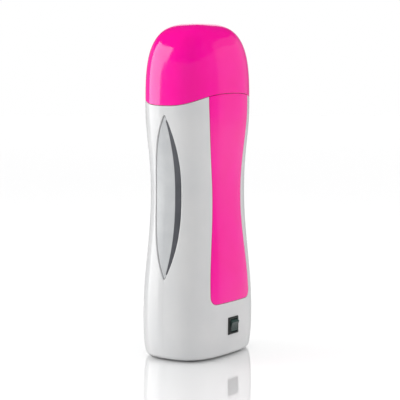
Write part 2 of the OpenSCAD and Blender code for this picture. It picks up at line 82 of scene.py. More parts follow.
# Spacing of the mesh's points along s and along z, and along edges
OUTER_GRID, PANE_GRID, SEAT_GRID, INNER_GRID = (1.5, 2.4), (1.3, 2.4), (3, 4), (3, 5)
SEAM_STEP, FOOT_STEP, WALL_STEP, HOLE_STEP = 1.5, 1.6, 2.4, 1.2
# Least squared distance of a grid's point from the rim, in steps of the grid
NEAR_RIM = 0.3
# Limit on how far a sharp corner reaches in, and how many places per millimetre tell points apart
SHARPEST, WELD = 0.15, 2e4
# One millimetre in metres
MM = 0.001
# The outline that s is measured on is this wide to each side
REF = 35.0


def mix(a, b, t):
    return a + (b - a)*t


def ease(t):
    return (1 - np.cos(np.pi*t))/2


# ---------------------------------------------------------------- the housing's form
# A level's outline is one squared-off ellipse. s runs round it from the middle of the front, in
# millimetres on the outline that is REF wide to each side, positive towards +X.
ANGLE = np.linspace(-np.pi/2, np.pi/2, 8001)
OUT_X = np.abs(np.cos(ANGLE))**(2/SQUARE)
OUT_Y = DEPTH*np.sign(np.sin(ANGLE))*np.abs(np.sin(ANGLE))**(2/SQUARE)
OUT_X[0] = OUT_X[-1] = 0.0
OUT_S = REF*np.concatenate([[0.0], np.cumsum(np.hypot(np.diff(OUT_X), np.diff(OUT_Y)))])
HALF = OUT_S[-1]
SIDE = HALF/2


def half_w(z):
    """Half width of the housing at level z, with the cap's dome above the rim."""
    z = np.asarray(z, float)
    low = FOOT_W - TUCK*((WIDE_Z - np.minimum(z, WIDE_Z))/WIDE_Z)**3
    mid = mix(FOOT_W, WAIST_W, ease(np.clip((z - WIDE_Z)/(WAIST_Z - WIDE_Z), 0, 1)))
    top = mix(WAIST_W, RIM_W, ease(np.clip((z - WAIST_Z)/(RIM_Z - WAIST_Z), 0, 1)**RIM_SKEW))
    above = np.clip(z - RIM_Z, 0, DOME_REACH)/(TOTAL_H - RIM_Z)
    top = top*(1 - above**DOME_POWER)**(1/DOME_POWER)
    return np.where(z < WIDE_Z, low, np.where(z < WAIST_Z, mid, top))


def outline(s):
    """Point and outward unit normal of the unit outline at s, and the gradient's length."""
    s = (np.asarray(s, float) + HALF) % (2*HALF) - HALF
    x = np.sign(s)*np.interp(np.abs(s), OUT_S, OUT_X)
    y = np.interp(np.abs(s), OUT_S, OUT_Y)
    gx = np.sign(x)*np.abs(x)**(SQUARE - 1)
    gy = np.sign(y)*np.abs(y/DEPTH)**(SQUARE - 1)/DEPTH
    g = np.hypot(gx, gy)
    return x, y, gx/g, gy/g, g


def slope_at(z):
    """How fast the half width grows with z."""
    return (half_w(z + 0.01) - half_w(z - 0.01))/0.02


def body(sz, inset):
    """Points of the housing at (s, z), moved inwards by inset, with the surface's normals."""
    sz = np.asarray(sz, float).reshape(-1, 2)
    x, y, nx, ny, _ = outline(sz[:, 0])
    a = half_w(sz[:, 1])
    slope = slope_at(sz[:, 1])
    inset = np.broadcast_to(np.asarray(inset, float), a.shape)
    p = np.stack([a*x - nx*inset, a*y - ny*inset, sz[:, 1]], 1)
    n = np.stack([nx, ny, -slope*(nx*x + ny*y)], 1)
    return p, n/np.linalg.norm(n, axis=1)[:, None]


def across(sz, m):
    """Unit direction in space of the step m = (along s, along z) on the housing's surface."""
    sz = np.asarray(sz, float).reshape(-1, 2)
    x, y, nx, ny, _ = outline(sz[:, 0])
    slope = slope_at(sz[:, 1])
    es = np.stack([-ny, nx, np.zeros_like(nx)], 1)
    ez = np.stack([slope*x, slope*y, np.ones_like(nx)], 1)
    d = m[:, :1]*es + m[:, 1:]*ez/np.linalg.norm(ez, axis=1)[:, None]
    return d/np.linalg.norm(d, axis=1)[:, None]


def s_at_x(x, z):
    """s on the front where the housing is at x."""
    front = slice(len(OUT_S)//2 + 1)
    return np.sign(x)*np.interp(np.abs(x)/half_w(z), OUT_X[front], OUT_S[front])


def s_at_y(y, z):
    """s on the +X side where the housing is at y."""
    return np.interp(y/half_w(z), OUT_Y, OUT_S)


def s_back(x, z):
    """s on the back where the housing's outer face is at x. It grows from +X over the back to -X."""
    near = float(s_at_x(abs(x), z))
    return HALF - near if x >= 0 else HALF + near


def s_back_in(x, z):
    """The same for the inner face."""
    low, high = 0.0, SIDE
    for _ in range(50):
        mid = (low + high)/2
        if body([[mid, z]], WALL)[0][0][0] < abs(x):
            low = mid
        else:
            high = mid
    return HALF - low if x >= 0 else HALF + low


def seam(s):
    """Level of the joint between body and cap at s."""
    x = np.abs(RIM_W*outline(s)[0])
    return SEAM_Z - SEAM_DROP*(x/RIM_W)**SEAM_POWER


def panel_half_w(z):
    return mix(PANEL_W, PANEL_END_W, ease(np.minimum(1, np.abs(z - PANEL_WAIST_Z)/PANEL_REACH)))


def lens(t):
    """Width of a lens shape at a share t of its half height, as a share of its greatest width."""
    return 1 - np.abs(t)**WIN_POWER


def window_edge(t, grow):
    """Half depth of the window at a share t of its half height, grown to each side."""
    return WIN_TIP + (WIN_D - WIN_TIP)*lens(t) + grow


# ---------------------------------------------------------------- mesh tools

def newell(points):
    """Normal of a face, twice as long as its area."""
    p = np.asarray(points)
    return np.cross(p, np.roll(p, -1, 0)).sum(0)


class Skin:
    """Faces with a point and a normal at every corner, welded to one mesh."""

    def __init__(self):
        self.co, self.index, self.faces, self.normals = [], {}, [], []

    def vertex(self, p):
        key = tuple(round(c*WELD) for c in p)
        if key not in self.index:
            self.index[key] = len(self.co)
            self.co.append([c*MM for c in p])
        return self.index[key]

    def face(self, points, normals):
        ids, ns = [], []
        if np.dot(newell(points), np.sum(normals, 0)) < 0:
            points, normals = points[::-1], normals[::-1]
        for p, n in zip(points, normals):
            i = self.vertex(p)
            if i not in ids:
                ids.append(i)
                ns.append(n)
        if len(ids) > 2:
            self.faces.append(ids)
            self.normals.extend(ns)

    def piece(self, name, material, rides):
        mesh = bpy.data.meshes.new(name)
        mesh.from_pydata(self.co, [], self.faces)
        mesh.polygons.foreach_set("use_smooth", [True]*len(mesh.polygons))
        mesh.update()
        mesh.normals_split_custom_set([tuple(n) for n in self.normals])
        mesh.materials.append(material)
        piece = bpy.data.objects.new(name, mesh)
        bpy.context.scene.collection.objects.link(piece)
        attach(piece, rides)
        return piece


def inside(points, loops):
    """Which points lie within the outer loop and in none of the holes."""
    hit = np.zeros(len(points), bool)
    for loop in loops:
        a, b = loop, np.roll(loop, -1, 0)
        for (x0, y0), (x1, y1) in zip(a, b):
            if y0 != y1:
                cross = (y0 > points[:, 1]) != (y1 > points[:, 1])
                hit ^= cross & (points[:, 0] < (x1 - x0)*(points[:, 1] - y0)/(y1 - y0) + x0)
    return hit


def fill(loops, step):
    """Triangles over the area between closed loops of (s, z), with a grid of points of its own."""
    rim = np.concatenate(loops)
    low, high = rim.min(0), rim.max(0)
    gs = np.arange(low[0] + step[0]/2, high[0], step[0])
    gz = np.arange(low[1] + step[1]/2, high[1], step[1])
    grid = np.stack(np.meshgrid(gs, gz), -1).reshape(-1, 2)
    grid[:, 0] += np.where(np.arange(len(grid))//len(gs) % 2, step[0]/2, 0)
    grid = grid[inside(grid, loops)]
    scale = np.array([1/step[0], 1/step[1]])
    near = np.array([(((rim - g)*scale)**2).sum(1).min() for g in grid]) if len(grid) else np.zeros(0)
    grid = grid[near > NEAR_RIM]
    points = np.concatenate([rim, grid])
    edges, first = [], 0
    for loop in loops:
        k = len(loop)
        edges += [(first + i, first + (i + 1) % k) for i in range(k)]
        first += k
    out = delaunay_2d_cdt([Vector(p) for p in points], edges, [], 0, 1e-9, True)
    old = [o[0] for o in out[3]]
    tris = np.array([[old[v] for v in f] for f in out[2]])
    keep = inside(points[tris].mean(1), loops)
    area = np.cross(points[tris[:, 1]] - points[tris[:, 0]], points[tris[:, 2]] - points[tris[:, 0]])
    tris[area < 0] = tris[area < 0][:, ::-1]
    return points, tris[keep & (np.abs(area) > 1e-9)]


def add_area(skin, loops, inset, step, inner=False):
    """The housing's surface between loops of (s, z), as an outer or an inner face."""
    points, tris = fill(loops, step)
    p, n = body(points, inset)
    for t in tris:
        t = t[::-1] if inner else t
        skin.face(p[t], -n[t] if inner else n[t])


def left_of(d):
    return np.stack([-d[..., 1], d[..., 0]], -1)


def unit(v):
    return v/np.maximum(1e-12, np.linalg.norm(v, axis=-1, keepdims=True))


class Run:
    """A stretch of an area's edge. The solid lies on its left.

    radius rounds the edge, and below it the wall follows column: pairs (at the rounding's start, inset).
    A run with radius 0 is a plain butt joint.
    """

    def __init__(self, pts, radius, column, steps=5):
        self.pts = np.asarray(pts, float)
        self.radius, self.column, self.steps = radius, column, steps
        self.start_column = self.end_column = column


def prepare(runs, base):
    """Finds each run's directions into the solid, and its rounded rows."""
    k = len(runs)
    for j, run in enumerate(runs):
        before, after = runs[j - 1], runs[(j + 1) % k]
        if not run.radius:
            continue
        inward = left_of(unit(np.diff(run.pts, axis=0)))
        alone = k == 1
        first = inward[-1] if alone else left_of(unit(before.pts[-1] - before.pts[-2]))
        last = inward[0] if alone else left_of(unit(after.pts[1] - after.pts[0]))
        a = np.concatenate([[first], inward])
        b = np.concatenate([inward, [last]])
        m = (a + b)/np.maximum(SHARPEST, 1 + (a*b).sum(1))[:, None]
        for end, other, own in ((0, before, inward[0]), (-1, after, inward[-1])):
            side = first if end == 0 else last
            if not alone and not other.radius:
                m[end] = np.linalg.solve(np.array([own, side]), np.array([1.0, 0.0]))
        run.out = -across(run.pts, m)
        run.rows = []
        for i in range(run.steps + 1):
            a = math.pi/2*i/run.steps
            sz = run.pts + m*run.radius*(1 - math.sin(a))
            p, n = body(sz, base + run.radius*(1 - math.cos(a)))
            run.rows.append((sz, p, unit(math.cos(a)*n + math.sin(a)*run.out)))
    for j, run in enumerate(runs):
        if not run.radius:
            before, after = runs[j - 1], runs[(j + 1) % k]
            ends = before.rows[0][0][-1], after.rows[0][0][0]
            count = max(2, int(abs(ends[1][1] - ends[0][1])/WALL_STEP))
            t = np.linspace(0, 1, count + 1)[:, None]
            run.pts = ends[0]*(1 - t) + ends[1]*t
            m = np.tile(left_of(unit(ends[1] - ends[0])), (count + 1, 1))
            run.out = -across(run.pts, m)


def column_points(run, i, base):
    """The wall's corners below the rounding at vertex i."""
    column = run.column
    if i == 0:
        column = run.start_column
    if i in (-1, len(run.pts) - 1):
        column = run.end_column
    out = [run.rows[-1][1][i]]
    for at_start, inset in column:
        sz = run.rows[0][0][i] if at_start else run.pts[i]
        out.append(body(sz, inset)[0][0])
    return out


def add_edges(skin, runs, base, thickness):
    """Rounded edges and walls for prepared runs."""
    k = len(runs)
    for j, run in enumerate(runs):
        if run.radius:
            for (_, p0, n0), (_, p1, n1) in zip(run.rows, run.rows[1:]):
                for i in range(len(run.pts) - 1):
                    skin.face([p1[i], p1[i + 1], p0[i + 1], p0[i]], [n1[i], n1[i + 1], n0[i + 1], n0[i]])
            cols = [column_points(run, i, base) for i in range(len(run.pts))]
            for i in range(len(run.pts) - 1):
                a, b = cols[i], cols[i + 1]
                if len(a) == len(b):
                    for q in range(len(a) - 1):
                        n = unit(np.cross(b[q + 1] - a[q + 1], a[q] - a[q + 1]))
                        skin.face([a[q + 1], b[q + 1], b[q], a[q]], [n]*4)
                else:
                    n = unit(np.cross(b[-1] - a[-1], a[0] - a[-1]))
                    ring = [a[-1]] + b[::-1] + a[:-1]
                    skin.face(ring, [n]*len(ring))
        else:
            before, after = runs[j - 1], runs[(j + 1) % k]
            p0 = body(run.pts, base)[0]
            p1 = body(run.pts, thickness)[0]
            for i in range(len(run.pts) - 1):
                n = run.out[i]
                skin.face([p1[i], p1[i + 1], p0[i + 1], p0[i]], [n]*4)
            for edge, end, corner in ((before, -1, p1[0]), (after, 0, p1[-1])):
                ring = [row[1][end] for row in edge.rows] + column_points(edge, end, base)[1:] + [corner]
                n = run.out[0]
                skin.face(ring if end == -1 else ring[::-1], [n]*len(ring))


def loop_of(runs, which):
    """The closed loop of (s, z) that runs make, at the rounding's "start" or at the "edge" itself."""
    out = []
    for run in runs:
        for q in run.rows[0][0] if run.radius and which == "start" else run.pts:
            if not out or np.abs(q - out[-1]).max() > 1e-9:
                out.append(q)
    if np.abs(out[0] - out[-1]).max() < 1e-9:
        out.pop()
    return np.array(out)


def without_repeats(points):
    return np.array([q for i, q in enumerate(points) if np.abs(q - points[i - 1]).max() > 1e-9])


def spaced(a, b, step):
    return np.linspace(a, b, max(2, int(math.ceil(abs(b - a)/step)) + 1))


def mirrored(pts):
    return (np.asarray(pts)*[-1, 1])[::-1]


def window_front():
    """The front edge of the window on the +X side, from its lower to its upper tip, as (s, z)."""
    t = np.linspace(-1, 1, 73)
    z = WIN_Z + WIN_H*t
    pts = np.stack([s_at_y(-window_edge(t, 0), z), z], 1)
    low, high = [SIDE - SHELL_GAP, z[0]], [SIDE - SHELL_GAP, z[-1]]
    return np.concatenate([[low], pts, [high]])


def seam_line(s0, s1):
    """The body's upper edge, just below the joint with the cap."""
    s = spaced(s0, s1, SEAM_STEP)
    return np.stack([s, seam(s) - SEAM_GAP], 1)


def foot_line(s0, s1):
    """The shells' lower edge."""
    s = spaced(s0, s1, FOOT_STEP)
    return np.stack([s, np.full(len(s), FOOT_H)], 1)


def panel_line(grow):
    """The panel's edge, from the top of its right side down, along the bottom and up its left side."""
    r = PANEL_CORNER_R + grow
    low = PANEL_LOW - grow
    w = panel_half_w(low) + grow
    top = SEAM_Z
    for _ in range(30):
        top = float(seam(s_at_x(panel_half_w(top) + grow, top))) - SEAM_GAP
    right = [[panel_half_w(z) + grow, z] for z in spaced(top, low + r, WALL_STEP)]
    corner = [[w - r + r*math.cos(a), low + r + r*math.sin(a)]
              for a in np.radians(np.arange(-10, -91, -10))]
    bottom = [[x, low] for x in spaced(w - r, 0, FOOT_STEP)[1:]]
    xz = np.array(right + corner + bottom)
    pts = np.stack([s_at_x(xz[:, 0], xz[:, 1]), xz[:, 1]], 1)
    return np.concatenate([pts, mirrored(pts)[1:]])


def box_hole(half_width, half_height, r):
    """A rounded rectangular hole in the front at the switch's level, as a clockwise loop."""
    x1, z0, z1 = half_width - r, SWITCH_Z - half_height + r, SWITCH_Z + half_height - r
    pts = []
    for cx, cz, a0 in ((x1, z1, 90), (x1, z0, 0), (-x1, z0, -90), (-x1, z1, -180)):
        for a in np.radians(np.linspace(a0, a0 - 90, 7)):
            pts.append([cx + r*math.cos(a), cz + r*math.sin(a)])
    dense = []
    for a, b in zip(pts, pts[1:] + pts[:1]):
        k = max(1, int(math.hypot(b[0] - a[0], b[1] - a[1])/HOLE_STEP))
        dense += [[mix(a[0], b[0], i/k), mix(a[1], b[1], i/k)] for i in range(k)]
    d = np.array(dense)
    return closed(np.stack([s_at_x(d[:, 0], d[:, 1]), d[:, 1]], 1))


def closed(pts):
    pts = np.asarray(pts, float)
    return np.concatenate([pts, pts[:1]])


def add_hole(skin, pts):
    """A hole through the wall with rounded edges. Returns its outer and its inner loop."""
    run = Run(pts, HOLE_R, [(False, WALL)], 3)
    prepare([run], 0.0)
    add_edges(skin, [run], 0.0, WALL)
    return run.rows[0][0][:-1], run.pts[:-1]


# ---------------------------------------------------------------- housing shells
# Columns of an edge's wall: down to the inner face, and the foot's, which turns in under the edge
PLAIN_WALL = [(False, WALL)]
FOOT_WALL = [(False, FOOT_LIP), (True, FOOT_LIP), (True, WALL)]
SEAT = PANEL_T + PANEL_BEHIND


def inner_loop(runs, foot):
    """The inner face's edge. It leaves out the lip under the foot."""
    return [q for run in runs for q in (run.rows[0][0] if run is foot else run.pts)]


def build_front_shell():
    skin = Skin()
    edge_s = SIDE - SHELL_GAP
    panel = panel_line(0.0)
    p_right, p_left = panel[0], panel[-1]
    top_side = float(seam(edge_s)) - SEAM_GAP
    win = window_front()
    foot = Run(foot_line(-edge_s, edge_s), FOOT_R, FOOT_WALL, 10)
    seam_r = Run(seam_line(edge_s, p_right[0]), EDGE_R, PLAIN_WALL)
    seam_l = Run(seam_line(p_left[0], -edge_s), EDGE_R, PLAIN_WALL)
    seam_r.pts[-1], seam_l.pts[0] = p_right, p_left
    right = [
        foot,
        Run([[edge_s, FOOT_H], [edge_s, win[0][1]]], 0, PLAIN_WALL),
        Run(win, WINDOW_R, PLAIN_WALL),
        Run([[edge_s, win[-1][1]], [edge_s, top_side]], 0, PLAIN_WALL),
        seam_r,
    ]
    recess = Run(panel, EDGE_R, [(False, SEAT)])
    left = [
        seam_l,
        Run([[-edge_s, top_side], [-edge_s, win[-1][1]]], 0, PLAIN_WALL),
        Run(mirrored(win), WINDOW_R, PLAIN_WALL),
        Run([[-edge_s, win[0][1]], [-edge_s, FOOT_H]], 0, PLAIN_WALL),
    ]
    runs = right + [recess] + left
    seam_r.end_column = [(False, SEAT), (False, WALL)]
    seam_l.start_column = [(False, SEAT), (False, WALL)]
    prepare(runs, 0.0)
    add_edges(skin, runs, 0.0, WALL)
    hole_out, hole_in = add_hole(skin, box_hole(SWITCH_HALF_W, SWITCH_HALF_H, SWITCH_CORNER_R))
    add_area(skin, [loop_of(runs, "start"), hole_out], 0.0, OUTER_GRID)
    middle = seam_line(p_right[0], p_left[0])
    middle[0], middle[-1] = p_right, p_left
    a, b = body(middle, SEAT)[0], body(middle, WALL)[0]
    for i in range(len(middle) - 1):
        n = unit(np.cross(b[i + 1] - b[i], a[i] - b[i]))
        skin.face([b[i], b[i + 1], a[i + 1], a[i]], [n]*4)
    add_area(skin, [np.concatenate([panel[::-1], middle[1:-1]])], SEAT, SEAT_GRID)
    inner = inner_loop(right, foot) + list(middle[1:-1]) + inner_loop(left, foot)
    add_area(skin, [without_repeats(inner), hole_in], WALL, INNER_GRID, inner=True)
    return skin


def add_screw_well(skin, side):
    """A tube for a screw, from the back's surface forwards. Returns its outer and its inner loop."""
    ring = []
    for a in np.radians(np.linspace(0, -360, 37)):
        x, z = side*SCREW_X + WELL_R*math.cos(a), SCREW_Z + WELL_R*math.sin(a)
        ring.append([s_back(x, z), z])
    mouth = Run(np.array(ring)[::-1], EDGE_R, [], 4)
    prepare([mouth], 0.0)
    add_edges(skin, [mouth], 0.0, WALL)
    top = mouth.rows[-1][1]
    angles = np.radians(np.linspace(-360, 0, 37))

    def rim(r):
        return np.array([[side*SCREW_X + r*math.cos(a), WELL_Y, SCREW_Z + r*math.sin(a)] for a in angles])

    low_in, low_out = rim(WELL_R), rim(WELL_OUTER_R)
    far = np.array([[s_back_in(x, z), z] for x, _, z in low_out])
    far_p = body(far, WALL)[0]
    front = np.array([0, -1.0, 0])
    for k in range(len(angles) - 1):
        n0 = np.array([-math.cos(angles[k]), 0, -math.sin(angles[k])])
        n1 = np.array([-math.cos(angles[k + 1]), 0, -math.sin(angles[k + 1])])
        skin.face([low_in[k], low_in[k + 1], top[k + 1], top[k]], [n0, n1, n1, n0])
        skin.face([low_out[k], low_out[k + 1], low_in[k + 1], low_in[k]], [front]*4)
        skin.face([far_p[k], far_p[k + 1], low_out[k + 1], low_out[k]], [-n0, -n1, -n1, -n0])
    return mouth.rows[0][0][:-1], far[:-1]


def build_rear_shell():
    skin = Skin()
    near_s = SIDE + SHELL_GAP
    far_s = near_s + 2*(HALF - near_s)
    win = (window_front()*[-1, 1] + [2*SIDE, 0])[::-1]
    foot = Run(foot_line(near_s, far_s), FOOT_R, FOOT_WALL, 10)
    runs = [
        foot,
        Run([[far_s, FOOT_H], [far_s, win[-1][1]]], 0, PLAIN_WALL),
        Run((win*[-1, 1] + [2*HALF, 0])[::-1], WINDOW_R, PLAIN_WALL),
        Run([[far_s, win[0][1]], [far_s, RIM_Z]], 0, PLAIN_WALL),
        Run(seam_line(far_s, near_s), EDGE_R, PLAIN_WALL),
        Run([[near_s, RIM_Z], [near_s, win[0][1]]], 0, PLAIN_WALL),
        Run(win, WINDOW_R, PLAIN_WALL),
        Run([[near_s, win[-1][1]], [near_s, FOOT_H]], 0, PLAIN_WALL),
    ]
    prepare(runs, 0.0)
    add_edges(skin, runs, 0.0, WALL)
    inlet = box_hole(INLET_HALF_W, INLET_HALF_H, INLET_CORNER_R)*[-1, 1] + [HALF, 0]
    holes = [add_hole(skin, inlet[::-1])] + [add_screw_well(skin, side) for side in (-1, 1)]
    add_area(skin, [loop_of(runs, "start")] + [outer for outer, _ in holes], 0.0, OUTER_GRID)
    inner = without_repeats(inner_loop(runs, foot))
    add_area(skin, [inner] + [loop for _, loop in holes], WALL, INNER_GRID, inner=True)
    return skin


# ---------------------------------------------------------------- window, panel and cap

def build_patch(runs, base, thickness, step):
    """A plate that lies in the housing's surface, from the depth base down to thickness."""
    skin = Skin()
    prepare(runs, base)
    add_edges(skin, runs, base, thickness)
    add_area(skin, [loop_of(runs, "start")], base, step)
    add_area(skin, [loop_of(runs, "edge")], thickness, INNER_GRID, inner=True)
    return skin


def build_panel():
    deep = PANEL_T - PANEL_BEHIND
    side = panel_line(-PANEL_PLAY)[::-1]
    top = seam_line(side[-1][0], side[0][0])
    top[0], top[-1] = side[-1], side[0]
    runs = [Run(pts, WINDOW_R, [(False, deep)], 6) for pts in (side, top)]
    return build_patch(runs, 0.0, deep, OUTER_GRID)


def window_points(t, y):
    """(s, z) of the points at depth y and a share t of the window's half height."""
    z = WIN_Z + (WIN_H - PANE_PLAY)*t
    return np.stack([s_at_y(y, z), z], 1)


def window_plate(pts, deep):
    return build_patch([Run(closed(pts), PANE_R, [(False, deep)], 3)], SUNK, deep, PANE_GRID)


def pane_front(t):
    return window_points(t, -window_edge(t, -PANE_PLAY))


def build_pane():
    t = np.linspace(-1, 1, 81)
    u = np.linspace(-NOTCH_REACH, NOTCH_REACH, 71)
    notch = window_points(u, -SHADE_SHARE*WIN_D*lens(u) + STRIP_GAP)
    low, high = t < -TIP_REACH, t > TIP_REACH
    front = np.concatenate([pane_front(t)[low], pane_front(u[:1]), notch,
                            pane_front(u[-1:]), pane_front(t)[high]])
    back = window_points(t, window_edge(t, -PANE_PLAY))
    return window_plate(np.concatenate([front[::-1], back]), PANE_DEEP)


# The dark strip along the window's front edge is painted shade: it fills the crescent where the shell's
# front edge shades the sunk window.
def build_strip():
    u = np.linspace(-STRIP_REACH, STRIP_REACH, 71)
    outer = window_points(u, -window_edge(u, -STRIP_PLAY))
    inner = window_points(u, -SHADE_SHARE*WIN_D*lens(u))
    return window_plate(np.concatenate([outer[::-1], inner]), STRIP_DEEP)


# The cap's profile from the rim to the top: shares of its width and height, and the way along it
CLIMB = np.pi/2*(1 - np.linspace(1, 0, 4001)**2)
CAP_W = np.cos(CLIMB)**(2/DOME_POWER)
CAP_W[-1] = 0.0
CAP_H = np.sin(CLIMB)**(2/DOME_POWER)
STEPS = np.hypot(PROFILE_W*np.diff(CAP_W), PROFILE_H*np.diff(CAP_H))
CAP_WAY = np.concatenate([[0.0], np.cumsum(STEPS)])


def dome(s, run, inset):
    """Points of the cap at s and a way up its profile, moved inwards by inset, with normals."""
    x, y, nx, ny, g = outline(s)
    w, u = np.interp(run, CAP_WAY, CAP_W), np.interp(run, CAP_WAY, CAP_H)
    n = unit(np.stack([w**(DOME_POWER - 1)*nx*g/RIM_W, w**(DOME_POWER - 1)*ny*g/RIM_W,
                       u**(DOME_POWER - 1)/(TOTAL_H - RIM_Z)], -1))
    p = np.stack([RIM_W*w*x, RIM_W*w*y, RIM_Z + (TOTAL_H - RIM_Z)*u], -1)
    return p - n*np.asarray(inset)[..., None], n


def build_cap():
    skin = Skin()
    s = np.linspace(-HALF, HALF, 193)[:-1]
    u = (seam(s) + SEAM_GAP - RIM_Z)/(TOTAL_H - RIM_Z)
    start = np.interp(u, CAP_H, CAP_WAY)
    r, end = EDGE_R, CAP_WAY[-1]
    edge, n0 = dome(s, start, 0*s)
    down = unit(np.cross(np.roll(edge, -1, 0) - np.roll(edge, 1, 0), n0))
    down = np.where(down[:, 2:] > 0, -down, down)
    rows = [(dome(s, start, WALL + 0*s)[0], down), (dome(s, start, r + 0*s)[0], down)]
    for a in np.radians(np.linspace(90, 0, 6)):
        p, n = dome(s, start + r*(1 - math.sin(a)), r*(1 - math.cos(a)) + 0*s)
        rows.append((p, unit(math.cos(a)*n + math.sin(a)*down)))
    for t in np.linspace(0, 1, 64)[1:]:
        rows.append(dome(s, mix(start + r, end, t), 0*s))
    inner = []
    for t in np.linspace(0, 1, 30):
        p, n = dome(s, mix(start, end, t), WALL + 0*s)
        inner.append((p, -n))
    for sheet in (rows, inner):
        for (p0, m0), (p1, m1) in zip(sheet, sheet[1:]):
            for i in range(len(s)):
                j = (i + 1) % len(s)
                skin.face([p0[i], p0[j], p1[j], p1[i]], [m0[i], m0[j], m1[j], m1[i]])
    return skin


def other_side(skin):
    """The mirror image of a piece, for the -X side."""
    out = Skin()
    out.co = [[-c[0], c[1], c[2]] for c in skin.co]
    out.faces = [f[::-1] for f in skin.faces]
    first = 0
    for f in skin.faces:
        ns = skin.normals[first:first + len(f)]
        out.normals += [n*[-1, 1, 1] for n in ns[::-1]]
        first += len(f)
    return out


# ---------------------------------------------------------------- materials

def srgb(*levels):
    """A shader colour from red, green and blue of 0 to 255."""
    shares = [v/255 for v in levels]
    return tuple(c/12.92 if c <= 0.04045 else ((c + 0.055)/1.055)**2.4 for c in shares) + (1.0,)


class Look:
    """A material whose colour, roughness and relief come from procedural nodes."""

    def __init__(self, name, **sockets):
        self.material = bpy.data.materials.new(name)
        self.material.use_nodes = True
        self.tree = self.material.node_tree
        self.shader = self.tree.nodes["Principled BSDF"]
        self.place = self.tree.nodes.new("ShaderNodeTexCoord").outputs["Object"]
        self.bump = None
        for key, value in sockets.items():
            self.shader.inputs[key.replace("_", " ")].default_value = value

    def stretched(self, scale):
        node = self.tree.nodes.new("ShaderNodeMapping")
        node.inputs["Scale"].default_value = scale
        self.tree.links.new(self.place, node.inputs["Vector"])
        return node.outputs["Vector"]

    def noise(self, scale, detail=3.0, stretch=(1, 1, 1)):
        node = self.tree.nodes.new("ShaderNodeTexNoise")
        node.inputs["Scale"].default_value = scale
        node.inputs["Detail"].default_value = detail
        self.tree.links.new(self.stretched(stretch), node.inputs["Vector"])
        return node.outputs["Fac"]

    def cells(self, scale):
        node = self.tree.nodes.new("ShaderNodeTexVoronoi")
        node.inputs["Scale"].default_value = scale
        self.tree.links.new(self.place, node.inputs["Vector"])
        return node.outputs["Distance"]

    def ramp(self, value, stops):
        node = self.tree.nodes.new("ShaderNodeValToRGB")
        node.color_ramp.elements[0].position, node.color_ramp.elements[0].color = stops[0]
        node.color_ramp.elements[1].position, node.color_ramp.elements[1].color = stops[-1]
        for position, colour in stops[1:-1]:
            node.color_ramp.elements.new(position).color = colour
        self.tree.links.new(value, node.inputs["Fac"])
        return node.outputs["Color"]

    def between(self, value, low, high):
        node = self.tree.nodes.new("ShaderNodeMapRange")
        node.inputs["From Min"].default_value = 0.3
        node.inputs["From Max"].default_value = 0.7
        node.inputs["To Min"].default_value = low
        node.inputs["To Max"].default_value = high
        self.tree.links.new(value, node.inputs["Value"])
        return node.outputs["Result"]

    def colour(self, value, *stops):
        self.tree.links.new(self.ramp(value, stops), self.shader.inputs["Base Color"])
        return self

    def rough(self, value, low, high):
        self.tree.links.new(self.between(value, low, high), self.shader.inputs["Roughness"])
        return self

    def relief(self, value, strength, distance):
        node = self.tree.nodes.new("ShaderNodeBump")
        node.inputs["Strength"].default_value = strength
        node.inputs["Distance"].default_value = distance
        self.tree.links.new(value, node.inputs["Height"])
        if self.bump:
            self.tree.links.new(self.bump, node.inputs["Normal"])
        self.bump = node.outputs["Normal"]
        self.tree.links.new(self.bump, self.shader.inputs["Normal"])
        return self


def moulded(name, dark, light, low, high, scale=45, grain=0.0, **sockets):
    """Moulded plastic: clouding in the colour, uneven gloss, slow sink marks and a fine grain."""
    look = Look(name, **sockets)
    look.colour(look.noise(scale, 5.0), (0.3, dark), (0.7, light))
    look.rough(look.noise(scale*5, 4.0), low, high)
    look.relief(look.noise(scale, 1.0), 0.25, 0.0002)
    if grain:
        look.relief(look.noise(2600, 2.0), grain, 0.00006)
    return look.material


def metal(name, dark, light, low, high, stretch, scale=900, grain=0.25):
    """Drawn or rolled metal, with its grain along one direction and a few duller patches."""
    look = Look(name, Metallic=1.0)
    look.colour(look.noise(160, 6.0), (0.3, dark), (0.7, light))
    look.rough(look.noise(scale, 3.0, stretch), low, high)
    look.relief(look.noise(scale, 2.0, stretch), grain, 0.00005)
    return look.material


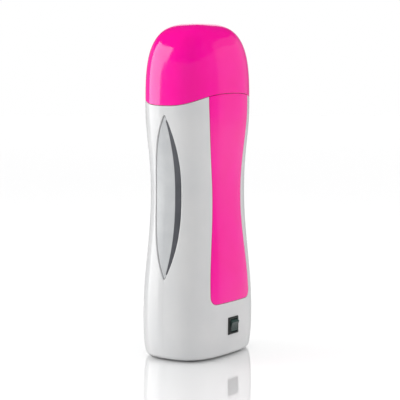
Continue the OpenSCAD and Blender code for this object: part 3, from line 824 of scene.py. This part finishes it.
def make_materials():
    m = {}
    m["white_plastic"] = moulded("white_gloss_plastic", srgb(207, 208, 209), srgb(213, 213, 213),
                                 0.10, 0.15, IOR=1.50, Coat_Weight=0.3, Coat_Roughness=0.05)
    m["pink_plastic"] = moulded("pink_gloss_plastic", srgb(251, 1, 152), srgb(254, 2, 162),
                                0.09, 0.14, IOR=1.50, Coat_Weight=0.3, Coat_Roughness=0.04)
    m["window_plastic"] = moulded("frosted_window_plastic", srgb(180, 182, 184), srgb(190, 192, 193),
                                  0.16, 0.24, 90, 0.1, IOR=1.49)
    # Painted shade: the dark grey of the strip along each window's front edge stands in for the shadow
    # that the shell's front edge casts on the sunk window.
    m["smoked_plastic"] = moulded("painted_shade_dark_plastic", srgb(74, 76, 80), srgb(86, 87, 92),
                                  0.14, 0.20, 90, 0.05, IOR=1.49)
    m["black_plastic"] = moulded("black_moulded_plastic", srgb(26, 30, 29), srgb(36, 40, 39),
                                 0.30, 0.42, 120, 0.3)
    m["rocker_plastic"] = moulded("smoked_green_rocker", srgb(34, 52, 49), srgb(48, 68, 64), 0.14, 0.22,
                                  160, 0.05, IOR=1.52)
    m["rubber_black"] = moulded("foot_rubber", srgb(28, 28, 29), srgb(44, 44, 45), 0.62, 0.80, 220, 0.6)
    m["chamber_plastic"] = moulded("chamber_heat_resistant_plastic", srgb(196, 198, 200),
                                   srgb(210, 211, 212), 0.34, 0.48, 70, 0.3)
    m["head_plastic"] = moulded("roller_head_plastic", srgb(228, 229, 230), srgb(236, 236, 236),
                                0.24, 0.34, 40, 0.08)
    m["bottle_plastic"] = moulded("cartridge_bottle_plastic", srgb(232, 200, 150), srgb(240, 212, 168),
                                  0.26, 0.36, 40, 0.1, Transmission_Weight=0.4, IOR=1.3)
    m["fuse_case"] = metal("fuse_case_tin", srgb(178, 176, 170), srgb(204, 202, 196), 0.24, 0.40,
                           (0.1, 1, 1))
    m["steel_screw"] = metal("zinc_plated_steel", srgb(150, 154, 160), srgb(186, 190, 196), 0.22, 0.42,
                             (1, 1, 1), 700)
    m["aluminium_plate"] = metal("rolled_aluminium", srgb(188, 190, 194), srgb(212, 214, 217), 0.26, 0.44,
                                 (1, 1, 0.05))
    m["spring_steel"] = metal("spring_steel", srgb(140, 144, 150), srgb(176, 180, 186), 0.20, 0.36,
                              (0.05, 1, 1))
    m["brass_tab"] = metal("tinned_brass", srgb(190, 158, 88), srgb(214, 184, 112), 0.24, 0.42,
                           (1, 0.08, 1))
    m["pin_metal"] = metal("nickel_plated_pin", srgb(190, 188, 182), srgb(214, 213, 208), 0.14, 0.28,
                           (1, 0.06, 1))
    m["roller_metal"] = metal("brushed_roller_aluminium", srgb(196, 198, 202), srgb(220, 222, 225),
                              0.22, 0.32, (0.03, 1, 1), 1200, 0.06)
    ceramic = Look("heater_ceramic_in_foil", Metallic=0.15)
    ceramic.colour(ceramic.cells(700), (0.1, srgb(70, 64, 58)), (0.8, srgb(104, 96, 88)))
    ceramic.rough(ceramic.noise(500), 0.5, 0.75).relief(ceramic.cells(700), 0.4, 0.0001)
    m["heater_ceramic"] = ceramic.material
    sheet = Look("insulation_film", IOR=1.6)
    sheet.colour(sheet.noise(260, 6.0, (1, 1, 0.2)),
                 (0.3, srgb(196, 148, 62)), (0.7, srgb(220, 176, 90)))
    sheet.rough(sheet.noise(400), 0.28, 0.5).relief(sheet.noise(240, 2.0), 0.4, 0.0002)
    m["insulation"] = sheet.material
    lamp = Look("lamp_glass", IOR=1.45, Transmission_Weight=0.5)
    lamp.colour(lamp.noise(900), (0.3, srgb(226, 128, 70)), (0.7, srgb(240, 150, 90)))
    lamp.rough(lamp.noise(1500), 0.05, 0.15)
    m["lamp_glass"] = lamp.material
    wax = Look("depilatory_wax", IOR=1.45, Subsurface_Weight=0.6, Subsurface_Scale=0.004)
    wax.colour(wax.noise(60, 5.0),
               (0.25, srgb(186, 96, 28)), (0.55, srgb(206, 118, 40)), (0.8, srgb(222, 144, 62)))
    wax.rough(wax.noise(180), 0.12, 0.34).relief(wax.noise(90, 3.0), 0.5, 0.0006)
    m["wax"] = wax.material
    sleeves = {
        "brown": ((92, 52, 26), (112, 66, 34)), "red": ((158, 22, 22), (182, 32, 30)),
        "blue": ((34, 62, 148), (46, 78, 170)), "white": ((214, 214, 208), (230, 230, 226)),
    }
    for name, (dark, light) in sleeves.items():
        m["lead_" + name] = moulded("lead_sleeve_" + name, srgb(*dark), srgb(*light),
                                    0.32, 0.46, 300, 0.2)
    return m


# The CAD nodes that are shown as they are, each with its material
FINISH = {
    "base_cover": "white_plastic", "rubber_feet": "rubber_black", "base_screws": "steel_screw",
    "shell_screws": "steel_screw", "chamber_sleeve": "chamber_plastic",
    "heating_plate": "aluminium_plate", "ptc_heaters": "heater_ceramic",
    "insulation_sheet": "insulation", "heater_clip": "spring_steel", "thermal_fuse": "fuse_case",
    "switch_housing": "black_plastic", "switch_terminals": "brass_tab", "switch_lamp": "lamp_glass",
    "switch_rocker": "rocker_plastic", "inlet_socket": "black_plastic", "inlet_pins": "pin_metal",
    "lead_live": "lead_brown", "lead_switched": "lead_red", "lead_neutral": "lead_blue",
    "lead_heater": "lead_white", "cartridge_bottle": "bottle_plastic", "wax_fill": "wax",
    "roller_head": "head_plastic", "roller": "roller_metal",
}
# Width of the rounding on their edges, in millimetres
BEVEL = {
    "base_cover": 0.3, "rubber_feet": 0.3, "base_screws": 0.12, "shell_screws": 0.12,
    "chamber_sleeve": 0.25, "heating_plate": 0.2, "ptc_heaters": 0.15, "switch_housing": 0.12,
    "switch_rocker": 0.18, "inlet_socket": 0.3, "inlet_pins": 0.15, "cartridge_bottle": 0.3,
    "roller_head": 0.35, "roller": 0.4, "switch_terminals": 0.08, "heater_clip": 0.06,
    "thermal_fuse": 0.15,
}

LOOKS = make_materials()

for node, slot in FINISH.items():
    part = NODES[node]
    part.data.materials.clear()
    part.data.materials.append(LOOKS[slot])
    if node in BEVEL:
        bevel = part.modifiers.new("edges", "BEVEL")
        bevel.width = BEVEL[node]*MM
        bevel.segments = 3
        bevel.limit_method = "ANGLE"
        bevel.angle_limit = math.radians(40)
        bevel.harden_normals = True


def stand_in(skin, name, slot, node, rides):
    """Shows a piece in place of a CAD node."""
    piece = skin.piece(name, LOOKS[slot], rides)
    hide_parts(node)


stand_in(build_front_shell(), "front_shell_moulding", "white_plastic", "front_shell", "housing")
stand_in(build_rear_shell(), "rear_shell_moulding", "white_plastic", "rear_shell", "housing")
stand_in(build_panel(), "front_panel_moulding", "pink_plastic", "front_panel", "housing")
stand_in(build_cap(), "cap_moulding", "pink_plastic", "cap", "cap")
pane, strip = build_pane(), build_strip()
stand_in(pane, "window_pane_right", "window_plastic", "window_right", "housing")
stand_in(other_side(pane), "window_pane_left", "window_plastic", "window_left", "housing")
# The two dark strips are painted shade along the windows' front edges.
stand_in(strip, "painted_shade_strip_right", "smoked_plastic", "sight_strip_right", "housing")
stand_in(other_side(strip), "painted_shade_strip_left", "smoked_plastic", "sight_strip_left", "housing")


# ---------------------------------------------------------------- floor, lights and camera
# In metres and degrees. Azimuth 0 is in front, at -Y, and 90 is at +X.
CAMERA_AZ, CAMERA_EL, CAMERA_DISTANCE = -54.92, 5.98, 0.845
CAMERA_AIM = Vector((0, 0, 0.0975))
LIGHT_AIM = Vector((0, 0, 0.1))
FLOOR_GLOW, DOME_GLOW, RING_GLOW, WORLD_GLOW = 0.03, 0.97, 0.24, 0.04
WHITE, BLACK = (1, 1, 1, 1), (0, 0, 0, 1)
FLOOR_HALF = 6
CARD_HALF_W, CARD_H, CARD_DISTANCE = 0.6, 1.5, 3.0


def around(azimuth, elevation, distance):
    a, e = math.radians(azimuth), math.radians(elevation)
    return Vector((math.sin(a)*math.cos(e), -math.cos(a)*math.cos(e), math.sin(e)))*distance


def placed(name, data, location, aim):
    """Adds a lamp or a camera at a place, turned towards aim."""
    thing = bpy.data.objects.new(name, data)
    bpy.context.scene.collection.objects.link(thing)
    thing.rotation_mode = "QUATERNION"
    thing.location = location
    thing.rotation_quaternion = (aim - thing.location).to_track_quat("-Z", "Y")
    return thing


def softbox(name, azimuth, elevation, distance, width, height, power):
    """A rectangular lamp. Its azimuth counts from the camera's."""
    data = bpy.data.lights.new(name, "AREA")
    data.shape = "RECTANGLE"
    data.size, data.size_y = width, height
    data.energy = power
    return placed(name, data, LIGHT_AIM + around(CAMERA_AZ + azimuth, elevation, distance), LIGHT_AIM)


def make_camera():
    data = bpy.data.cameras.new("camera")
    data.sensor_width = 36
    data.lens = 124.85
    data.shift_x = 0.0048
    data.shift_y = -0.0171
    data.clip_start = 0.05
    data.clip_end = 20
    return placed("camera", data, CAMERA_AIM + around(CAMERA_AZ, CAMERA_EL, CAMERA_DISTANCE), CAMERA_AIM)


def add_mesh(name, points, faces, material):
    mesh = bpy.data.meshes.new(name)
    mesh.from_pydata(points, [], faces)
    mesh.materials.append(material)
    piece = bpy.data.objects.new(name, mesh)
    bpy.context.scene.collection.objects.link(piece)
    return piece


def glow(name, strength):
    look = Look(name, Emission_Color=WHITE, Emission_Strength=strength, Roughness=1.0)
    look.shader.inputs["Base Color"].default_value = BLACK
    look.shader.inputs["Specular IOR Level"].default_value = 0
    return look.material


def drum(name, radius, height, strength, lid=True):
    """A plain pale wall round the set, with or without a lid."""
    angles = [math.radians(a) for a in range(0, 360, 10)]
    ring = [(radius*math.cos(a), radius*math.sin(a)) for a in angles]
    k = len(ring)
    points = [(x, y, z) for z in (-0.5, height) for x, y in ring]
    walls = [(i, (i + 1) % k, k + (i + 1) % k, k + i) for i in range(k)]
    faces = walls + [tuple(range(k, 2*k))]*lid
    return add_mesh(name, points, faces, glow(name + "_look", strength))


def seen_by(piece, camera, diffuse, glossy):
    """Says which rays meet a part of the set. None of it casts a shadow."""
    piece.visible_camera, piece.visible_diffuse, piece.visible_glossy = camera, diffuse, glossy
    piece.visible_shadow = piece.visible_transmission = False


def make_floor():
    look = Look("pale_gloss_floor", IOR=1.6, Coat_Weight=1.0, Coat_IOR=1.8, Coat_Roughness=0.05,
                Emission_Color=WHITE, Emission_Strength=FLOOR_GLOW)
    look.colour(look.noise(3, 2.0), (0.3, srgb(244, 244, 245)), (0.7, srgb(249, 249, 249)))
    look.rough(look.noise(40, 3.0), 0.04, 0.07)
    corners = [(x*FLOOR_HALF, y*FLOOR_HALF, 0) for x, y in ((-1, -1), (1, -1), (1, 1), (-1, 1))]
    return add_mesh("floor", corners, [(0, 1, 2, 3)], look.material)


def make_card():
    """A plain white card behind the object, which the floor mirrors."""
    across_view = Vector((math.cos(math.radians(CAMERA_AZ)), math.sin(math.radians(CAMERA_AZ)), 0))
    foot = -around(CAMERA_AZ, 0, CARD_DISTANCE)
    edges = ((-CARD_HALF_W, 0), (CARD_HALF_W, 0), (CARD_HALF_W, CARD_H), (-CARD_HALF_W, CARD_H))
    corners = [tuple(foot + across_view*x + Vector((0, 0, z))) for x, z in edges]
    return add_mesh("rear_card", corners, [(0, 1, 2, 3)], glow("rear_card_look", 1.0))


def make_world():
    world = bpy.data.worlds.new("studio")
    world.use_nodes = True
    background = world.node_tree.nodes["Background"]
    background.inputs["Color"].default_value = WHITE
    background.inputs["Strength"].default_value = WORLD_GLOW
    return world


bpy.context.scene.camera = make_camera()
floor = make_floor()
seen_by(drum("pale_wall", 5.0, 4.0, 1.0), camera=True, diffuse=False, glossy=False)
seen_by(drum("soft_dome", 5.4, 4.4, DOME_GLOW), camera=False, diffuse=True, glossy=False)
seen_by(drum("low_ring", 5.15, 2.0, RING_GLOW, lid=False), camera=False, diffuse=False, glossy=True)
seen_by(make_card(), camera=True, diffuse=False, glossy=True)
bpy.context.scene.world = make_world()
bpy.context.scene.view_settings.view_transform = "Standard"

softbox("left_softbox", azimuth=-93, elevation=12, distance=0.8, width=0.58, height=0.9, power=4.6)
softbox("right_softbox", azimuth=118, elevation=12, distance=1.0, width=0.8, height=0.75, power=0.4)
front_fill = softbox("front_fill", azimuth=88, elevation=24, distance=1.1, width=0.8, height=0.8,
                     power=2.5)
front_fill.visible_glossy = False
